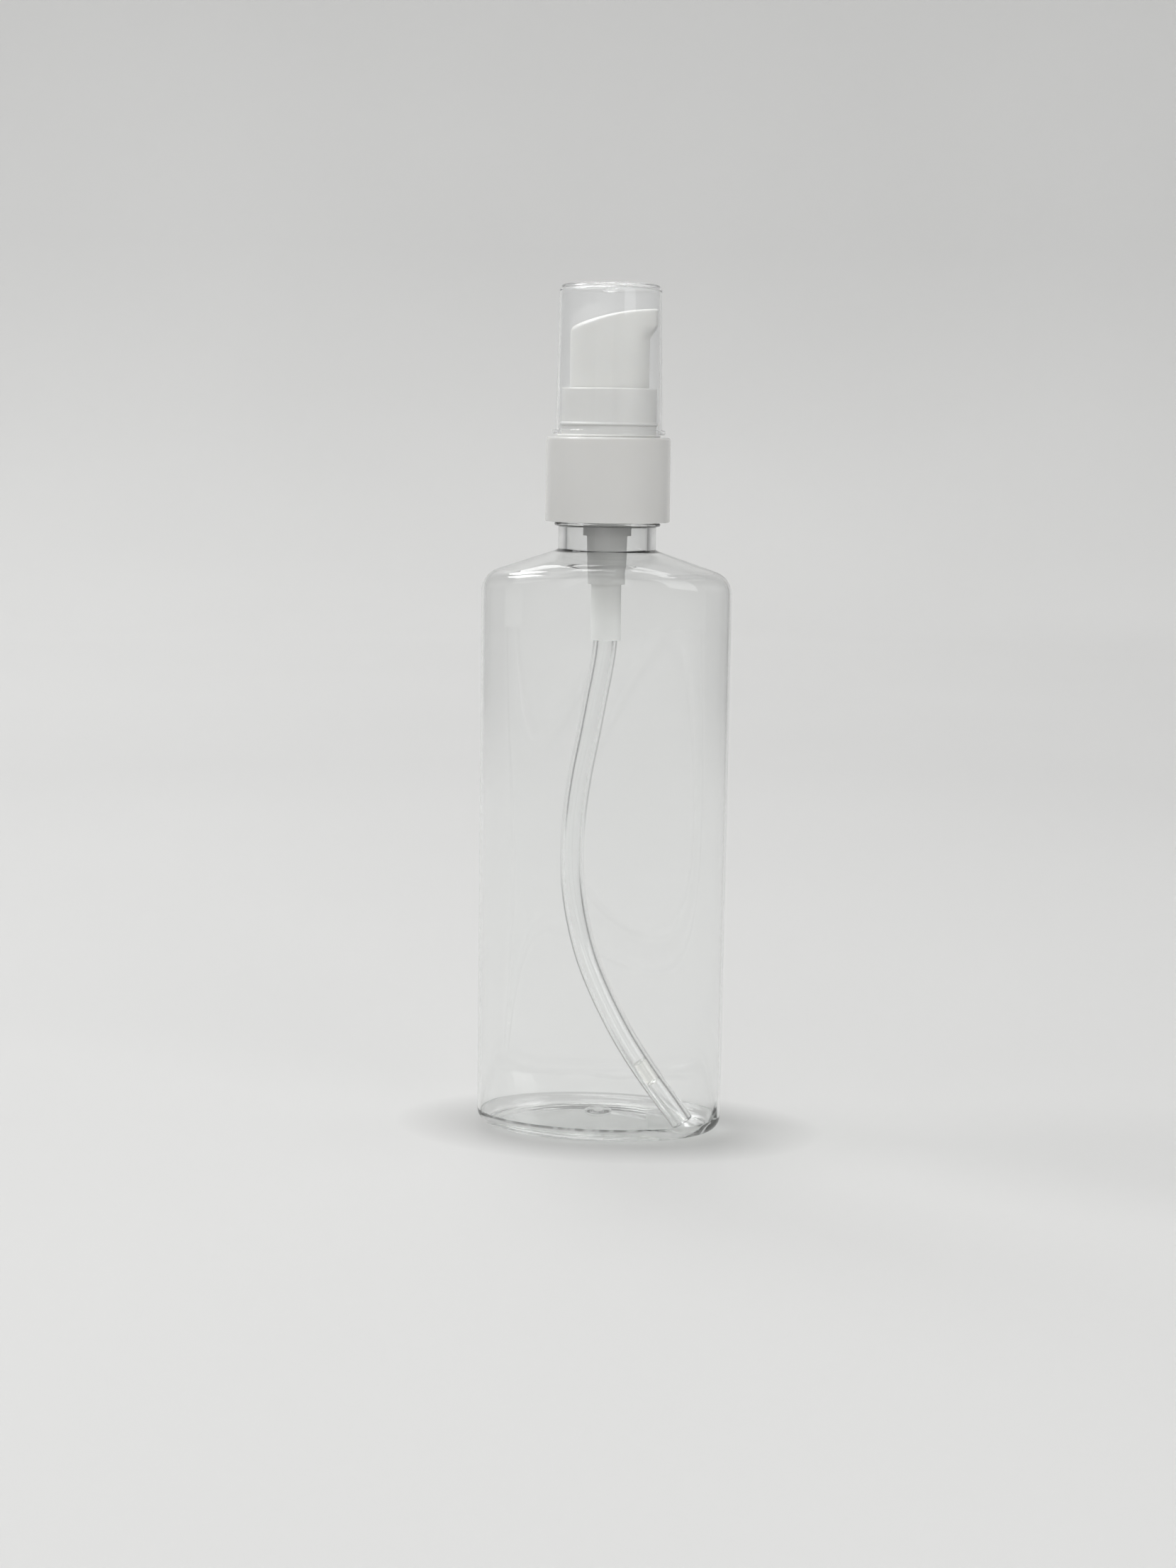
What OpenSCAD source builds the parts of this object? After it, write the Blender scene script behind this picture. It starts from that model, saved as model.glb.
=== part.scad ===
// Flat oval bottle with a finger-press oil pump under a clear overcap.
// Frame: +Z up from the surface the bottle stands on, origin under the middle of the neck,
// X along the wide side of the body with the spout pointing to +X, Y through the thickness.

/* [Bottle] */
// Width of the oval body
body_w = 55.5; // [50:0.5:62]
// Thickness of the oval body, front to back
body_d = 31.5; // [30:0.5:38]
// Height where the shoulder meets the neck
neck_base_z = 130.7; // [124:0.1:140]
// Wall of the body
wall = 0.75; // [0.6:0.05:1]
// Radius round the foot of the body
foot_r = 3.4; // [2.8:0.1:4]
// Height of the push-up in the middle of the base
push_up = 2.6; // [2:0.1:3]
// Fall of the shoulder along the wide side, degrees
slope_w = 18.5; // [16:0.5:20]
// Fall of the shoulder front to back, degrees
slope_d = 35; // [32:1:38]
// Radius where the shoulder turns into the wide ends
corner_w = 5.2; // [4:0.1:6]
// Radius where the shoulder turns into the front and back
corner_d = 4; // [3:0.1:5]

/* [Neck finish] */
// Diameter of the neck below its thread
neck_dia = 21.5; // [21.3:0.1:21.7]
// Diameter of the bore through the neck
neck_bore = 17.7; // [17.2:0.1:18]
// Height of the neck above the shoulder
neck_h = 21.6; // [21.4:0.1:21.8]
// Rise of the screw thread in one turn
pitch = 3.175; // [3:0.025:3.3]
// Turns of thread
turns = 1.5; // [1:0.25:1.5]

/* [Closure and collar] */
// Diameter of the closure at its lower edge
closure_dia = 27.44; // [27.2:0.04:28]
// Height of the closure
closure_h = 18.4; // [18.2:0.1:18.5]
// Diameter of the collar ring the actuator sinks into
collar_dia = 20.8; // [20.6:0.1:20.9]
// Height of the collar ring above the closure
collar_h = 10.4; // [9.5:0.1:11]

/* [Actuator and overcap] */
// Diameter of the actuator body
actuator_dia = 17.3; // [16.8:0.1:17.5]
// Height of the spout's upper edge above the base
spout_top_z = 182.8; // [181:0.1:183]
// Reach of the spout from the pump's axis
spout_reach = 10.35; // [9.5:0.05:10.4]
// Diameter of the orifice
orifice_dia = 1.5; // [1:0.1:1.6]
// Height of the whole object
total_h = 188; // [187.6:0.1:190]
// Travel of the actuator from rest to fully pressed
stroke = 4.5; // [3:0.1:4.6]

/* [Pump and dip tube] */
// Diameter of the housing's upper barrel
barrel_dia = 10.6; // [10.4:0.1:11]
// Bore that the piston runs in
piston_bore = 8.8; // [8.6:0.1:9]
// Diameter of the stem
stem_dia = 4.9; // [4.6:0.1:5]
// Diameter of the inlet ball
ball_dia = 4; // [3.8:0.1:4.1]
// Outside diameter of the dip tube
tube_dia = 5.3; // [5:0.1:5.3]
// Bore of the dip tube
tube_bore = 3.1; // [2.6:0.1:3.6]

/* [Hidden] */
$fn = 96;
fit = 0.05;               // radial clearance of a running fit
eps = 0.01;

// Bottle
sides = 48;               // flats round the oval body
base_rings = 4;
shoulder_rings = 11;
foot_flat = 0.5;          // width of the ring the bottle stands on
floor_wall = 0.95;        // wall over the push-up
neck_r = neck_dia / 2;
bore_r = neck_bore / 2;
neck_top_z = neck_base_z + neck_h;
shell_top_z = neck_base_z - 0.1;
shoulder_z = neck_base_z - 10.2;
bead_z = neck_base_z + 5.6;
bead_r = 0.32;
bead_reach = neck_r + 0.93;

// Thread: the neck's ridge and the closure's ridge run half a turn of pitch apart
thread_steps = 24;
thread_fade = 4;
thread_reach = 1.1;
thread_root_w = 2.0;
thread_crest_w = 0.9;
inner_root_w = 1.7;
inner_crest_w = 0.7;
thread_z = neck_top_z - 6.7;
thread_lift = 0.15;       // the closure pulls up against the neck's thread when it is tight

// Closure
closure_wall_r = neck_r + 1.4;
closure_top_z = neck_base_z + 24.6;
closure_z = closure_top_z - closure_h;
closure_r = closure_dia / 2;
plate_t = 1.06;
plate_hole_r = 8.6;
gap = 0.02;               // end play of the plate between collar and flange

// Pump heights, counted from the top of the neck or the top of the closure
gasket_t = 1;
flange_z = neck_top_z + gasket_t;
flange_top_z = flange_z + 0.9;
upstand_z = flange_top_z + 3.2;
upstand_r = 6.95;         // sleeve on the flange that presses into the collar ring
upstand_bore = 5.85;
press = 0.1;              // clearance of a part that is pressed or clamped in place
seal_t = 1;
collar_r = collar_dia / 2;
collar_top_z = closure_top_z + collar_h;
collar_floor_z = closure_top_z + 3.5;
snap_r = 0.4;
barrel_r = barrel_dia / 2;
bore_top_r = piston_bore / 2;
stem_r = stem_dia / 2;
guide_r = stem_r + 0.08;

barrel_z = 134;           // step between upper and lower barrel
lower_z = 123.25;         // step between lower barrel and spigot
spigot_z = 110.9;
spigot_r = 3.3;
seat_z = 123.8;
port_r = 1.2;
cage_z = 129;             // top of the ribs that cage the ball and carry the spring
cage_lip = [1.5, 0.5];    // inner edge and thickness of the lips that stop the ball
spring_bore = 3.45;
lower_r = 4.45;           // lower barrel, at its top and at its foot
lower_foot_r = 4.1;
vent_r = 0.5;
rib_t = 0.8;
ball_r = ball_dia / 2;
ball_z = seat_z - port_r + ball_r * sqrt(2) + 0.03;

// Moving column
spring_top_z = 143;
wire_r = 0.32;
coil_r = 2.75;
coils = 7.5;
rod_seat_z = spring_top_z + 1.2;
shank_r = 1.55;
piston_h = 5;
slip = 0.6;               // play of the piston on the rod, which opens the outlet ports
stem_z = rod_seat_z + piston_h + slip + fit * 2;
stem_top_z = 175;

// Actuator
actuator_r = actuator_dia / 2;
actuator_z = collar_floor_z + stroke + 0.6;
tip_half_w = 2.2;
top_fall = 0.09;          // slope of the top at the spout, and how it steepens to the back
top_bend = 0.0069;
orifice_z = spout_top_z - 1.6;
lip_z = spout_top_z - 3.7;    // lower edge of the spout's face
chin_z = spout_top_z - 6.5;   // where the spout swells out of the body
dish_x = -2.2;            // middle of the finger dish
dish_r = 26;
dish_depth = 0.55;
dish_tilt = atan(top_fall + 2 * top_bend * (spout_reach - dish_x));

// Overcap
cap_z = closure_top_z + 0.5;
cap_lip_r = 12.4;
cap_foot_r = 11.7;
cap_top_r = 11.1;
cap_bore_foot_r = collar_r + snap_r + 0.08;
cap_bore_top_r = 10.55;
cap_round = 1.3;

// Route of the dip tube: straight in its socket, bowed to the left, then to the front right foot
TUBE_ROUTE = [
    [0, 0, 120.8], [0, 0, 115], [-0.1, 0, 110], [-0.9, 0, 104], [-2, 0, 98], [-3.4, 0, 90],
    [-5.1, 0, 81], [-6.3, 0, 72], [-6.7, -0.1, 65], [-6.6, -0.4, 58.5], [-5.9, -0.8, 52],
    [-4.6, -1.5, 45.8], [-2.7, -2.3, 39.5], [0, -3.2, 33.2], [3.2, -4.1, 27], [7, -5, 20.6],
    [11.5, -5.9, 14.2], [16, -6.6, 8.4], [19.6, -7.1, 3.5]
];

// ---- shared helpers ----

// Faces of a solid made of rings of n points: sides between rings and a flat cap at each end
function ring_faces(rings, n) = concat(
    [[for (j = [0:n - 1]) j]],
    [for (i = [0:rings - 2], j = [0:n - 1])
        [i * n + j, (i + 1) * n + j, (i + 1) * n + (j + 1) % n, i * n + (j + 1) % n]],
    [[for (j = [n - 1:-1:0]) (rings - 1) * n + j]]
);

// One horizontal oval ring
function oval(a, b, z, n) = [for (j = [0:n - 1]) [a * cos(360 * j / n), b * sin(360 * j / n), z]];

// Circle of points square to a direction, for sweeping a round bar
function across(p, dir, r, n) =
    let (u = dir / norm(dir), side = cross(u, [0, 1, 0]), s = side / norm(side), t = cross(u, s))
    [for (j = [0:n - 1]) p + r * cos(360 * j / n) * s + r * sin(360 * j / n) * t];

function heading(path, i) =
    path[min(i + 1, len(path) - 1)] - path[max(i - 1, 0)];

module sweep(path, r, n) {
    points = [for (i = [0:len(path) - 1]) each across(path[i], heading(path, i), r, n)];
    polyhedron(points, ring_faces(len(path), n), convexity = 10);
}

// Washer or tube standing on z
module ring(outer, inner, z, h) {
    translate([0, 0, z]) difference() {
        cylinder(h = h, r = outer);
        translate([0, 0, -1]) cylinder(h = h + 2, r = inner);
    }
}

// Screw ridge on a wall: reach above 0 grows outward, below 0 grows inward
module ridge(wall_r, reach, root_w, crest_w, z) {
    n = round(turns * thread_steps);
    s = sign(reach);
    root_r = wall_r - s * 0.2;
    points = [for (i = [0:n])
        let (a = 360 * turns * i / n,
             crest_r = wall_r + reach * max(0.05, min(1, i / thread_fade, (n - i) / thread_fade)),
             h = z + pitch * turns * i / n)
        each [for (p = [[root_r, s * root_w / 2], [crest_r, s * crest_w / 2],
                        [crest_r, -s * crest_w / 2], [root_r, -s * root_w / 2]])
            [p.x * cos(a), p.x * sin(a), h + p.y]]];
    polyhedron(points, ring_faces(n + 1, 4), convexity = 10);
}

// ---- bottle ----

// Half width of the body at height z: straight wall, corner arc, then a straight shoulder
function body_half(z, half, slope, r) =
    let (arc_z = neck_base_z - (half - neck_r) * tan(slope) - r * tan((90 - slope) / 2))
    z <= arc_z ? half
    : z <= arc_z + r * cos(slope) ? half - r + sqrt(r * r - (z - arc_z) * (z - arc_z))
    : neck_r + (neck_base_z - z) / tan(slope);

function body_ring(z, t, drop) = oval(
    body_half(z + drop, body_w / 2 - t, slope_w, corner_w - t),
    body_half(z + drop, body_d / 2 - t, slope_d, corner_d - t), z, sides);

// Rings of one skin, from the middle of the base up to the shoulder; t is the depth under the
// outer face, and bottom the lowest height of the skin
function base_skin(t, bottom) = concat(
    [for (i = [0:base_rings - 1])
        let (f = (i + 0.5) / base_rings, in = foot_r + (t > 0 ? 0 : foot_flat))
        oval((body_w / 2 - in) * f, (body_d / 2 - in) * f,
             bottom + push_up * (1 - f * f), sides)],
    t > 0 ? [] : [oval(body_w / 2 - foot_r - foot_flat, body_d / 2 - foot_r - foot_flat, bottom,
                       sides)],
    [for (i = [0:base_rings])
        let (a = 90 - 90 * i / base_rings, in = t + (foot_r - t) * (1 - cos(a)))
        oval(body_w / 2 - in, body_d / 2 - in,
             foot_r - (foot_r - bottom) * sin(a), sides)]
);

function reversed(list) = [for (i = [len(list) - 1:-1:0]) list[i]];

module bottle() {
    inside_top = neck_base_z - 1.1;
    gate_disc_r = 2.6;
    gate_r = 1.3;
    outer = concat(
        base_skin(0, 0),
        [for (i = [0:shoulder_rings])
            body_ring(shoulder_z + (shell_top_z - shoulder_z) * i / shoulder_rings, 0, 0)]);
    inner = concat(
        base_skin(wall, floor_wall),
        [for (i = [0:shoulder_rings - 1])
            body_ring(shoulder_z + (inside_top - shoulder_z) * i / (shoulder_rings - 1), wall, wall)],
        [oval(bore_r - 0.15, bore_r - 0.15, neck_base_z - 0.5, sides),
         oval(bore_r - 0.15, bore_r - 0.15, shell_top_z, sides)]);
    rings = concat(outer, reversed(inner));
    color([0.86, 0.9, 0.9, 0.35]) union() {
        polyhedron([for (r = rings) each r], ring_faces(len(rings), sides), convexity = 12);
        neck();
        ridge(neck_r, thread_reach, thread_root_w, thread_crest_w, thread_z);
        // gate mark in the middle of the base: a raised disc inside and a nub below
        translate([0, 0, push_up + 0.3]) cylinder(h = 1, r = gate_disc_r);
        translate([0, 0, push_up - 0.5]) cylinder(h = 1.3, r = gate_r);
    }
}

module neck() {
    z = neck_base_z - 0.4;
    chamfer = 0.3;
    rotate_extrude() union() {
        polygon([[bore_r, z], [neck_r, z], [neck_r, neck_top_z - chamfer],
                 [neck_r - chamfer, neck_top_z], [bore_r, neck_top_z]]);
        translate([neck_r - 0.2, bead_z - bead_r])
            square([bead_reach - bead_r - neck_r + 0.2, 2 * bead_r]);
        translate([bead_reach - bead_r, bead_z]) circle(r = bead_r, $fn = 48);
    }
}

// ---- closure and the pieces clamped by it ----

module closure() {
    top_r = closure_r - 0.12;
    edge = 0.7;
    chamfer = 0.25;
    plate_z = closure_top_z - gap - plate_t;
    color([0.94, 0.93, 0.91]) union() {
        rotate_extrude() difference() {
            union() {
                polygon([[0, closure_z], [closure_r - chamfer, closure_z],
                         [closure_r, closure_z + chamfer],
                         [top_r, closure_top_z - gap - edge], [0, closure_top_z - gap - edge]]);
                translate([0, closure_top_z - gap - edge]) square([top_r - edge, edge]);
                intersection() {
                    translate([top_r - edge, closure_top_z - gap - edge]) circle(r = edge, $fn = 64);
                    translate([top_r - edge - 1, closure_top_z - gap - edge]) square([2, 1]);
                }
            }
            translate([-1, closure_z - 1]) square([closure_wall_r + 1, plate_z - closure_z + 1]);
            translate([-1, plate_z - 1]) square([plate_hole_r + 1, plate_t + 2]);
        }
        ridge(closure_wall_r, -thread_reach, inner_root_w, inner_crest_w,
              thread_z - pitch / 2 + thread_lift);
    }
}

// Ring that clips the pump into the closure, guides the stem and holds the overcap
module collar_ring() {
    wall_in = actuator_r + 0.3;
    web_z = upstand_z + 0.2;
    seal_top = flange_top_z + seal_t + press;
    foot_w = 0.9;
    foot_h = 0.45;
    chamfer = 0.3;
    lead_in = 0.2;
    snap_h = 2.7;
    color([0.93, 0.92, 0.9]) rotate_extrude() union() {
        polygon([
            [guide_r, seal_top], [upstand_bore - press, seal_top], [upstand_bore - press, web_z],
            [upstand_r + press, web_z], [upstand_r + press, flange_top_z + press],
            [plate_hole_r - press, flange_top_z + press],
            [plate_hole_r - press, closure_top_z], [collar_r + foot_w, closure_top_z],
            [collar_r + foot_w, closure_top_z + foot_h], [collar_r, closure_top_z + foot_h],
            [collar_r, collar_top_z - chamfer], [collar_r - chamfer, collar_top_z],
            [wall_in + lead_in, collar_top_z], [wall_in, collar_top_z - lead_in],
            [wall_in, collar_floor_z], [guide_r, collar_floor_z]
        ]);
        // bead that the overcap snaps over
        translate([collar_r, closure_top_z + snap_h]) intersection() {
            circle(r = snap_r, $fn = 48);
            translate([-0.2, -1]) square([1, 2]);
        }
    }
}

module neck_gasket() {
    color([0.88, 0.89, 0.87]) ring(neck_r - 0.15, barrel_r + fit, neck_top_z, gasket_t);
}

module stem_seal() {
    color([0.85, 0.86, 0.88]) ring(upstand_bore - fit, stem_r + fit, flange_top_z + fit, seal_t);
}

// ---- pump ----

module housing() {
    flange_r = neck_r - 0.65;
    socket_r = tube_dia / 2 + eps;
    socket_z = TUBE_ROUTE[0].z + 0.2;
    seat_w = 1.5;
    rib_in = ball_r + 0.15;
    color([0.86, 0.87, 0.84]) difference() {
        union() {
            rotate_extrude() difference() {
                polygon([
                    [0, spigot_z], [spigot_r, spigot_z], [spigot_r, lower_z], [lower_foot_r, lower_z],
                    [lower_r, barrel_z], [barrel_r, barrel_z], [barrel_r, flange_z],
                    [flange_r, flange_z], [flange_r, flange_top_z],
                    [upstand_r, flange_top_z], [upstand_r, upstand_z], [0, upstand_z]
                ]);
                polygon([
                    [-1, spigot_z - 1], [socket_r, spigot_z - 1],
                    [socket_r, socket_z], [port_r, socket_z],
                    [port_r, seat_z], [port_r + seat_w, seat_z + seat_w],
                    [spring_bore, seat_z + seat_w],
                    [spring_bore + 0.15, barrel_z - 0.6], [bore_top_r, barrel_z + 0.9],
                    [bore_top_r, flange_top_z], [upstand_bore, flange_top_z],
                    [upstand_bore, upstand_z + 1], [-1, upstand_z + 1]
                ]);
            }
            // four ribs cage the ball; their lips keep it under the spring
            for (a = [0:90:270]) rotate(a) {
                translate([rib_in, -rib_t / 2, seat_z + 1])
                    cube([spring_bore + 0.3 - rib_in, rib_t, cage_z - seat_z - 1]);
                translate([cage_lip.x, -rib_t / 2, cage_z - cage_lip.y])
                    cube([rib_in - cage_lip.x + 1, rib_t, cage_lip.y]);
            }
        }
        // vent that lets air in behind the piston
        translate([0, 0, flange_z - 1.6]) rotate([0, 90, 90]) cylinder(h = barrel_r + 1, r = vent_r);
    }
}

module dip_tube() {
    // the bore runs a little past both cut ends
    ends = len(TUBE_ROUTE) - 1;
    bore_route = [for (i = [0:ends])
        TUBE_ROUTE[i] + (i == 0 ? [0, 0, 0.5] : i == ends ? 0.1 * heading(TUBE_ROUTE, ends) : [0, 0, 0])];
    color([0.85, 0.87, 0.88, 0.6]) difference() {
        sweep(TUBE_ROUTE, tube_dia / 2, 16);
        sweep(bore_route, tube_bore / 2, 16);
    }
}

module inlet_ball() {
    color([0.72, 0.73, 0.75]) translate([0, 0, ball_z]) sphere(r = ball_r);
}

// Wound spring: its end turns lie flat, its middle turns are open
module return_spring() {
    steps = 16;
    n = round(coils * steps);
    low = cage_z + wire_r + 0.05;
    high = spring_top_z - wire_r - 0.05;
    flat = 2 * wire_r + 0.04;
    path = [for (i = [0:n])
        let (turn = i / steps,
             z = turn < 1 ? low + flat * turn
               : turn > coils - 1 ? high - flat * (coils - turn)
               : low + flat + (high - low - 2 * flat) * (turn - 1) / (coils - 2))
        [coil_r * cos(360 * turn), coil_r * sin(360 * turn), z]];
    color([0.75, 0.76, 0.78]) polyhedron(
        [for (i = [0:n])
            let (a = 360 * i / steps, out = [cos(a), sin(a), 0])
            each [for (j = [0:7]) path[i] + wire_r * (cos(45 * j) * out + sin(45 * j) * [0, 0, 1])]],
        ring_faces(n + 1, 8), convexity = 12);
}

// Rod that carries the piston's seat; its fluted shank is pressed into the stem
module valve_rod() {
    top = stem_z + 3.6;
    pilot_r = 2.1;        // stub that centres the spring
    disc_r = 3.3;
    color([0.9, 0.9, 0.88]) difference() {
        union() {
            translate([0, 0, spring_top_z - 2.2]) cylinder(h = 2.5, r = pilot_r);
            translate([0, 0, spring_top_z]) cylinder(h = rod_seat_z - spring_top_z, r = disc_r);
            translate([0, 0, rod_seat_z - eps]) cylinder(h = top - rod_seat_z + eps, r = shank_r);
        }
        for (a = [0:90:270]) rotate(a)
            translate([0.9, -0.35, rod_seat_z + 0.4]) cube([2, 0.7, top - rod_seat_z]);
    }
}

module piston() {
    z = rod_seat_z + fit;
    skirt = bore_top_r - 0.04;
    bore = shank_r + 0.08;
    hub = 2.9;
    root = 3.5;           // inner face of the skirt at the web
    color([0.93, 0.93, 0.92]) rotate_extrude() polygon([
        [bore, z], [hub - 0.2, z], [hub, z + 2], [root, z + 2], [root + 0.2, z + 0.4],
        [skirt, z + 0.3], [skirt, z + 0.8], [skirt - 0.12, z + 1.3], [skirt - 0.12, z + 3.7],
        [skirt, z + 4.2], [skirt, z + 4.7], [root + 0.2, z + 4.6], [root, z + 3],
        [hub, z + 3], [hub, z + piston_h], [bore, z + piston_h]
    ]);
}

module stem() {
    socket = shank_r + 0.02;
    stop_r = bore_top_r - 0.3;    // flange that stops under the seal
    stop_z = stem_z + 3.1;
    bore = 1.1;
    color([0.93, 0.93, 0.92]) rotate_extrude() polygon([
        [socket, stem_z], [stem_r, stem_z], [stem_r, stop_z], [stop_r, stop_z],
        [stop_r, flange_top_z - 0.1], [stem_r, flange_top_z - 0.1],
        [stem_r, stem_top_z - 0.3], [stem_r - 0.3, stem_top_z], [bore, stem_top_z],
        [bore, stem_z + 4], [socket, stem_z + 4]
    ]);
}

// ---- head ----

function top_z(x) =
    spout_top_z - top_fall * (spout_reach - x) - top_bend * pow(spout_reach - x, 2);

// Side view of the actuator: the top falls from the spout to a rounded back edge
module actuator_side() {
    back_round = 1.2;
    fall = atan(top_fall + 2 * top_bend * (spout_reach + actuator_r - back_round));
    front = spout_reach + 0.5;
    centre_x = -actuator_r + back_round;
    back = centre_x - back_round * sin(fall);
    centre_z = top_z(back) - back_round * cos(fall);
    polygon(concat(
        [[-actuator_r, actuator_z - 1], [front, actuator_z - 1]],
        [for (i = [0:24]) let (x = front + (back - front) * i / 24) [x, top_z(x)]],
        [for (i = [1:8]) let (a = 90 + fall + (90 - fall) * i / 8)
            [centre_x + back_round * cos(a), centre_z + back_round * sin(a)]]
    ));
}

// Press head: a cylinder that swells into the spout, tangent to it on both sides
module actuator_body() {
    tangent = acos(actuator_r / norm([spout_reach, tip_half_w])) + atan(tip_half_w / spout_reach);
    touch = actuator_r * [cos(tangent), sin(tangent)];
    intersection() {
        union() {
            translate([0, 0, actuator_z]) cylinder(h = 22, r = actuator_r);
            hull() {
                translate([0, 0, chin_z]) cylinder(h = eps, r = actuator_r - eps, $fn = 64);
                translate([0, 0, lip_z]) linear_extrude(6)
                    polygon([[0, 0], [touch.x, -touch.y], [spout_reach + 0.3, -tip_half_w],
                             [spout_reach + 0.3, tip_half_w], touch]);
            }
        }
        rotate([90, 0, 0]) translate([0, 0, -12]) linear_extrude(24) actuator_side();
        translate([0, 0, actuator_z - 1]) cylinder(h = 25, r = spout_reach);
    }
}

module actuator() {
    skin = 0.9;
    roof_z = top_z(-actuator_r) - 3;
    hub_r = 3.9;
    knee = [7.4, orifice_z];
    start = [0, stem_top_z + 0.8];
    run = knee - start;
    color([0.95, 0.94, 0.92]) difference() {
        actuator_body();
        // hollow skirt round the hub
        ring(actuator_r - skin, hub_r, actuator_z - 1, roof_z - actuator_z + 1);
        // the hub ends a little above the skirt
        translate([0, 0, actuator_z - 1]) cylinder(h = 1.4, r = hub_r + 0.1);
        // socket that turns on the stem
        translate([0, 0, actuator_z - 1]) cylinder(h = stem_top_z + 0.2 - actuator_z + 1, r = stem_r + fit);
        // outlet: up from the stem, slanting forward, then straight to the orifice
        translate([0, 0, stem_top_z]) cylinder(h = 1.2, r = 1);
        translate([start.x, 0, start.y]) rotate([0, atan2(run.x, run.y), 0])
            cylinder(h = norm(run), r = orifice_dia / 2 - 0.05);
        translate([knee.x - 0.2, 0, knee.y]) rotate([0, 90, 0]) cylinder(h = 6, r = orifice_dia / 2);
        // shallow dish for the fingertip, square to the sloping top
        translate([dish_x, 0, top_z(dish_x)]) rotate([0, -dish_tilt, 0])
            translate([0, 0, dish_r - dish_depth]) sphere(r = dish_r, $fn = 180);
    }
}

module overcap() {
    inside_z = total_h - 0.9;
    lip_h = 1;
    chamfer = 0.3;
    corner = 0.6;         // bevel inside the top corner
    blob_r = 1.8;
    pip_r = 1.1;
    color([0.88, 0.92, 0.92, 0.35]) difference() {
        rotate_extrude() union() {
            difference() {
                union() {
                    polygon([[0, cap_z], [cap_lip_r - chamfer, cap_z], [cap_lip_r, cap_z + chamfer],
                             [cap_lip_r, cap_z + lip_h - 0.2], [cap_lip_r - 0.2, cap_z + lip_h],
                             [cap_foot_r, cap_z + lip_h], [cap_top_r, total_h - cap_round],
                             [0, total_h - cap_round]]);
                    translate([0, total_h - cap_round - eps])
                        square([cap_top_r - cap_round, cap_round + eps]);
                    intersection() {
                        translate([cap_top_r - cap_round, total_h - cap_round])
                            circle(r = cap_round, $fn = 64);
                        translate([cap_top_r - cap_round - 1, total_h - cap_round - 0.5]) square([4, 4]);
                    }
                }
                polygon([[-1, cap_z - 1], [cap_bore_foot_r, cap_z - 1], [cap_bore_foot_r, collar_top_z],
                         [cap_bore_top_r, inside_z - corner], [cap_bore_top_r - corner, inside_z],
                         [-1, inside_z]]);
            }
            // gate mark: a blob under the top panel
            intersection() {
                translate([0, inside_z + 0.4]) circle(r = blob_r, $fn = 64);
                translate([0, inside_z - 3]) square([3, 3.3]);
            }
        }
        translate([0, 0, total_h - 0.3]) cylinder(h = 1, r = pip_r);
    }
}

bottle();
closure();
collar_ring();
neck_gasket();
housing();
dip_tube();
inlet_ball();
return_spring();
valve_rod();
piston();
stem();
stem_seal();
actuator();
overcap();
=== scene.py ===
import math

import bpy
import numpy as np
from mathutils import Matrix, Vector


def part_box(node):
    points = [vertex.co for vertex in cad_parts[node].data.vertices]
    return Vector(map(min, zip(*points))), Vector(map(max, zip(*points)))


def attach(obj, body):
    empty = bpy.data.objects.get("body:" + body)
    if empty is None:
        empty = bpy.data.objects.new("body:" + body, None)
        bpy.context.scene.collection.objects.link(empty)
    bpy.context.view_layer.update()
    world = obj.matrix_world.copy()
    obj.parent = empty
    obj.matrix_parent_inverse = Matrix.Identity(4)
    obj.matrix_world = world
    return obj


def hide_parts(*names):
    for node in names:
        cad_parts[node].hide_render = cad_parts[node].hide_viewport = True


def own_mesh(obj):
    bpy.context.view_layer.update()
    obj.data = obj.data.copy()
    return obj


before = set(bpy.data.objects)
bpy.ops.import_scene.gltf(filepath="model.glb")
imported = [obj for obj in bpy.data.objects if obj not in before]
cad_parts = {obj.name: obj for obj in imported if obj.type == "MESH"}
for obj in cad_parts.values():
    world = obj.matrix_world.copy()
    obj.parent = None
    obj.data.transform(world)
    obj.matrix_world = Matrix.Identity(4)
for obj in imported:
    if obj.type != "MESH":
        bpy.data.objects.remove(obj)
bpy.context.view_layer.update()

# Shapes below are in millimetres in the row frame; MM turns them into metres when a mesh is made.
# The camera, the lamps and the materials are in metres.
MM = 0.001


def mm_box(node):
    """The lowest and the highest corner of a CAD node's box, in millimetres."""
    lo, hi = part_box(node)
    return np.array(lo) / MM, np.array(hi) / MM


BOTTLE, CLOSURE, COLLAR = mm_box("bottle"), mm_box("closure"), mm_box("collar_ring")
HEAD, CAP, STEM = mm_box("actuator"), mm_box("overcap"), mm_box("stem")
SPRING = mm_box("return_spring")

# ---- camera: the photograph's place and angle ----

CAMERA_AZIMUTH, CAMERA_PITCH, CAMERA_ROLL = (math.radians(a) for a in (5.7, 8.4, 0.85))
CAMERA_DISTANCE, CAMERA_HEIGHT, CAMERA_ASIDE = 0.5213, 0.1555, 0.0034
LENS, SENSOR = 54.16, 36


def aim(eye, target, roll):
    """The turn that points -Z from eye to target, rolled about that line."""
    forward = (Vector(target) - Vector(eye)).normalized()
    right = forward.cross(Vector((0, 0, 1))).normalized()
    up = right.cross(forward)
    turn = Matrix((right, up, -forward)).transposed()
    return turn @ Matrix.Rotation(roll, 3, "Z")


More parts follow.
